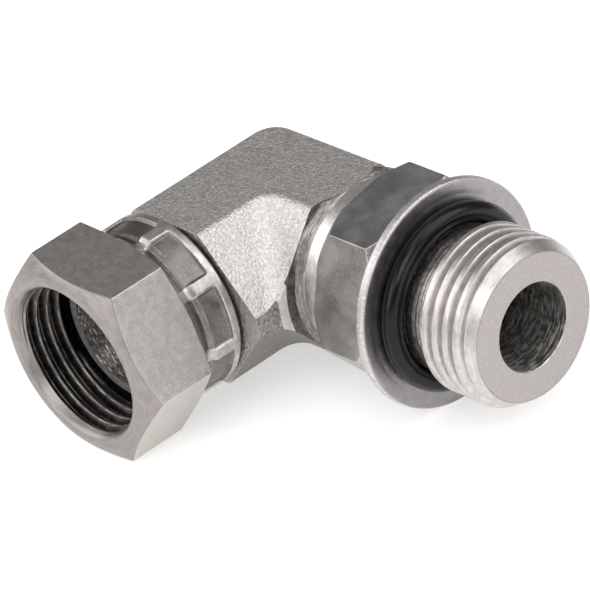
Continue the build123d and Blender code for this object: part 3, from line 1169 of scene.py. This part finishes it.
@dataclass
class ForgedBody:
    """The forged block with its turned ends, as packed, up to where the stud's end takes over.

    Sizes are in mm, apart from the two distances in metres, and angles in degrees. The facings are
    the least share of a face's direction that lies along an axis.
    """

    node: str = "elbow_body"
    cut: float = STUD_CUT
    block_reach_stud: float = 13.2
    block_reach_shank: float = 16.0
    recess_radius: float = 11.7
    recess_depth: float = 0.4
    root_end: float = 13.8
    plain_radius: float = 9.95
    bore_radius: float = OILWAY_RADIUS
    bore_end: float = -5.0
    inside_nut: float = 17.0
    slack: float = 0.05
    upright_facing: float = 0.15
    end_facing: float = 0.99
    nose_facing: float = 0.9
    smooth_angle: float = 32.0
    merge_metres: float = 1e-6
    cut_metres: float = 1e-7

    def copied(self, frame: dict) -> bpy.types.Mesh:
        """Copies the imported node, merges its loose triangles and cuts off the stud's end.


        Returns:
            The closed mesh, shaded smooth apart from its sharp edges.
        """
        work = bmesh.new()
        work.from_mesh(frame["nodes"][self.node].data)
        bmesh.ops.remove_doubles(work, verts=work.verts, dist=self.merge_metres)
        cut = bmesh.ops.bisect_plane(
            work,
            geom=[*work.verts, *work.edges, *work.faces],
            dist=self.cut_metres,
            plane_co=(self.cut * MM, 0, 0),
            plane_no=(1, 0, 0),
            clear_outer=True,
        )
        edges = [e for e in cut["geom_cut"] if isinstance(e, bmesh.types.BMEdge)]
        bmesh.ops.triangle_fill(work, use_beauty=True, edges=edges, normal=(1, 0, 0))
        mesh = bpy.data.meshes.new("elbow_body_dressed")
        work.to_mesh(mesh)
        work.free()
        imported = mesh.attributes.get("custom_normal")
        if imported:
            mesh.attributes.remove(imported)
        mesh.shade_smooth()
        mesh.update()
        mesh.set_sharp_from_angle(angle=math.radians(self.smooth_angle))
        return mesh

    def surfaces(self, mesh: bpy.types.Mesh) -> list[tuple]:
        """Sorts the faces by how that part of the body was made, and by where shade and light are
        painted.

        Args:
            mesh: the body's mesh.

        Returns:
            Pairs of a mask over the faces and a finish, as dress() takes them.
        """
        centres, normals = face_vectors(mesh, "center") / MM, face_vectors(mesh, "normal")
        to_stud, to_shank = Leg.STUD.radial(centres), Leg.SHANK.radial(centres)
        reach_stud, reach_shank = centres[:, 0], -centres[:, 1]
        facing_stud, facing_shank = normals[:, 0], -normals[:, 1]
        upright = np.abs(normals[:, 2]) < self.upright_facing
        near_stud = to_stud < self.recess_radius + self.slack
        near_shank = to_shank < self.recess_radius + self.slack
        stud_end = reach_stud > self.block_reach_stud - self.recess_depth - self.slack
        shank_end = reach_shank > self.block_reach_shank - self.slack
        end_face = reach_stud > self.block_reach_stud - self.slack
        end_face &= (facing_stud > self.end_facing) & (to_stud > self.recess_radius - self.slack)
        recess = stud_end & near_stud & (reach_stud < self.root_end - self.slack)
        recess &= to_stud > self.plain_radius + self.slack
        wall = self.bore_radius + self.slack
        bored = (to_stud < wall) & (reach_stud > self.bore_end)
        bored |= (to_shank < wall) & (reach_shank > self.bore_end)
        in_nut = (reach_shank > self.inside_nut) & near_shank
        return [
            (upright, SHEARED),
            # Faces of the lower half that are not upright take painted shade
            (~upright & (centres[:, 2] < 0), UNDERSIDE_SHADE),
            (stud_end & near_stud, TURNED_STUD),
            # The end face beside the recess takes painted light
            (end_face, FACED_END_PAINTED_LIGHT),
            (shank_end & near_shank, TURNED_SHANK),
            (shank_end & (facing_shank > self.end_facing), FORGED),
            # The recess takes painted shade
            (recess, RECESS_SHADE),
            (bored, DRILLED),
            # Inside the nut the faces take painted shade
            (in_nut, SEAT_SHADE),
            # The nose's rim takes a painted highlight
            (in_nut & (facing_shank > self.nose_facing), NOSE_RIM_HIGHLIGHT),
        ]

    def build(self, frame: dict) -> bpy.types.Object:
        """Makes the dressed copy.


        Returns:
            The piece.
        """
        mesh = self.copied(frame)
        finishes = [FORGED, SHEARED, TURNED_STUD, TURNED_SHANK, DRILLED, SEAT_SHADE]
        finishes += [RECESS_SHADE, UNDERSIDE_SHADE, NOSE_RIM_HIGHLIGHT, FACED_END_PAINTED_LIGHT]
        dress(mesh, finishes, *self.surfaces(mesh))
        return show(mesh, "elbow", "forged_steel", finishes, self.node)


@dataclass(frozen=True)
class Softbox:
    """A large square lamp that faces the object. Its side and distance are in metres."""

    name: str
    towards: tuple[float, float, float]
    side: float
    brightness: float
    distance: float = 0.9

    def build(self) -> None:
        """Adds the lamp. Its power is brightness times pi times its area."""
        lamp = bpy.data.lights.new(self.name, "AREA")
        lamp.shape = "SQUARE"
        lamp.size = self.side
        lamp.energy = self.brightness * math.pi * self.side**2
        placed = add_object(self.name, lamp)
        direction = Vector(self.towards).normalized()
        placed.location = direction * self.distance
        placed.rotation_euler = direction.to_track_quat("Z", "Y").to_euler()


@dataclass
class Studio:
    """A pale floor, soft lamps on both sides and the camera at the photograph's angle.

    The angles are in degrees, the lens, sensor and shifts in mm, and other lengths in metres.
    """

    azimuth: float = 52.823
    elevation: float = 31.213
    roll: float = -11.925
    distance: float = 0.62072
    lens: float = 342.5
    sensor: float = 36.0
    nearest: float = 0.01
    farthest: float = 50.0
    side_shift: float = -1.255
    up_shift: float = 7.526
    floor_side: float = 8.0
    floor_colour: str = "#e6e6e4"
    floor_lift: float = 0.5
    world_colour: str = "#8a8a8a"
    world_strength: float = 1.0
    lamps: tuple[Softbox, ...] = field(
        default_factory=lambda: (
            Softbox("left_softbox", (-0.70, -0.57, 0.52), 0.65, 2.3),
            Softbox("right_softbox", (0.52, 0.44, 0.74), 0.75, 2.1),
            Softbox("camera_softbox", (0.43, -0.54, 0.72), 0.55, 3.0),
            Softbox("top_softbox", (0.0, 0.0, 1.0), 0.6, 1.6),
            Softbox("front_fill", (-0.10, -0.93, 0.35), 0.5, 2.3),
            Softbox("right_fill", (0.75, 0.62, 0.25), 0.5, 0.7),
            Softbox("stud_fill", (0.97, -0.12, 0.22), 0.5, 1.7),
        )
    )

    def camera(self) -> None:
        """Adds the camera. Its rotation is the look direction turned by the roll."""
        a, e, r = (math.radians(v) for v in (self.azimuth, self.elevation, self.roll))
        right = Vector((math.cos(a), math.sin(a), 0))
        back = Vector((math.sin(a) * math.cos(e), -math.cos(a) * math.cos(e), math.sin(e)))
        up = back.cross(right)
        rolled_right = math.cos(r) * right + math.sin(r) * up
        rolled_up = math.cos(r) * up - math.sin(r) * right
        data = bpy.data.cameras.new("camera")
        data.lens = self.lens
        data.sensor_width = self.sensor
        data.clip_start, data.clip_end = self.nearest, self.farthest
        camera = add_object("camera", data)
        place = back * self.distance
        place -= (rolled_right * self.side_shift + rolled_up * self.up_shift) * MM
        turn = Matrix((rolled_right, rolled_up, back)).transposed()
        camera.matrix_world = Matrix.Translation(place) @ turn.to_4x4()
        bpy.context.scene.camera = camera

    def floor(self, height: float) -> None:
        """Adds the floor, which shows near white and keeps the object's shadow.

        Args:
            height: where it lies, in metres.
        """
        half = self.floor_side / 2
        corners = [(-half, -half), (half, -half), (half, half), (-half, half)]
        mesh = bpy.data.meshes.new("floor")
        mesh.from_pydata([(x, y, height) for x, y in corners], [], [(0, 1, 2, 3)])
        made = bpy.data.materials.new("matt_white_floor")
        tree = blank_tree(made)
        paths = add_node(tree, "ShaderNodeLightPath").outputs
        seen = paths["Is Camera Ray"]
        for ray in ("Is Glossy Ray", "Is Transmission Ray"):
            settings = {"operation": "ADD", "use_clamp": True}
            total = add_node(tree, "ShaderNodeMath", settings, i0=seen, i1=paths[ray])
            seen = total.outputs[0]
        lift = add_node(
            tree, "ShaderNodeMath", {"operation": "MULTIPLY"}, i0=seen, i1=self.floor_lift
        )
        colour = linear(self.floor_colour)
        matt = add_node(tree, "ShaderNodeBsdfDiffuse", Color=colour)
        glow = add_node(tree, "ShaderNodeEmission", Color=(1, 1, 1, 1), Strength=lift.outputs[0])
        both = add_node(tree, "ShaderNodeAddShader", i0=matt.outputs[0], i1=glow.outputs[0])
        add_node(tree, "ShaderNodeOutputMaterial", Surface=both.outputs[0])
        mesh.materials.append(made)
        floor = add_object("floor", mesh)
        floor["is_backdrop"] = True

    def world(self) -> None:
        """Adds an even grey surrounding light."""
        world = bpy.data.worlds.new("studio")
        tree = blank_tree(world)
        light = add_node(
            tree,
            "ShaderNodeBackground",
            Color=linear(self.world_colour),
            Strength=self.world_strength,
        )
        add_node(tree, "ShaderNodeOutputWorld", Surface=light.outputs[0])
        bpy.context.scene.world = world

    def build(self) -> None:
        """Sets the studio up round the finished object."""
        bpy.context.scene.view_settings.view_transform = "Standard"
        self.camera()
        self.floor(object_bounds()[0].z)
        self.world()
        for lamp in self.lamps:
            lamp.build()


def main() -> None:
    """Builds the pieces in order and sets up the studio."""
    logging.basicConfig(level=logging.INFO, format="%(message)s")
    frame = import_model()
    ForgedBody().build(frame)
    StudEnd().build()
    SwivelEnd().build()
    LockNut().build()
    Washer().build()
    SealRing().build()
    Studio().build()


if __name__ == "__main__":
    main()
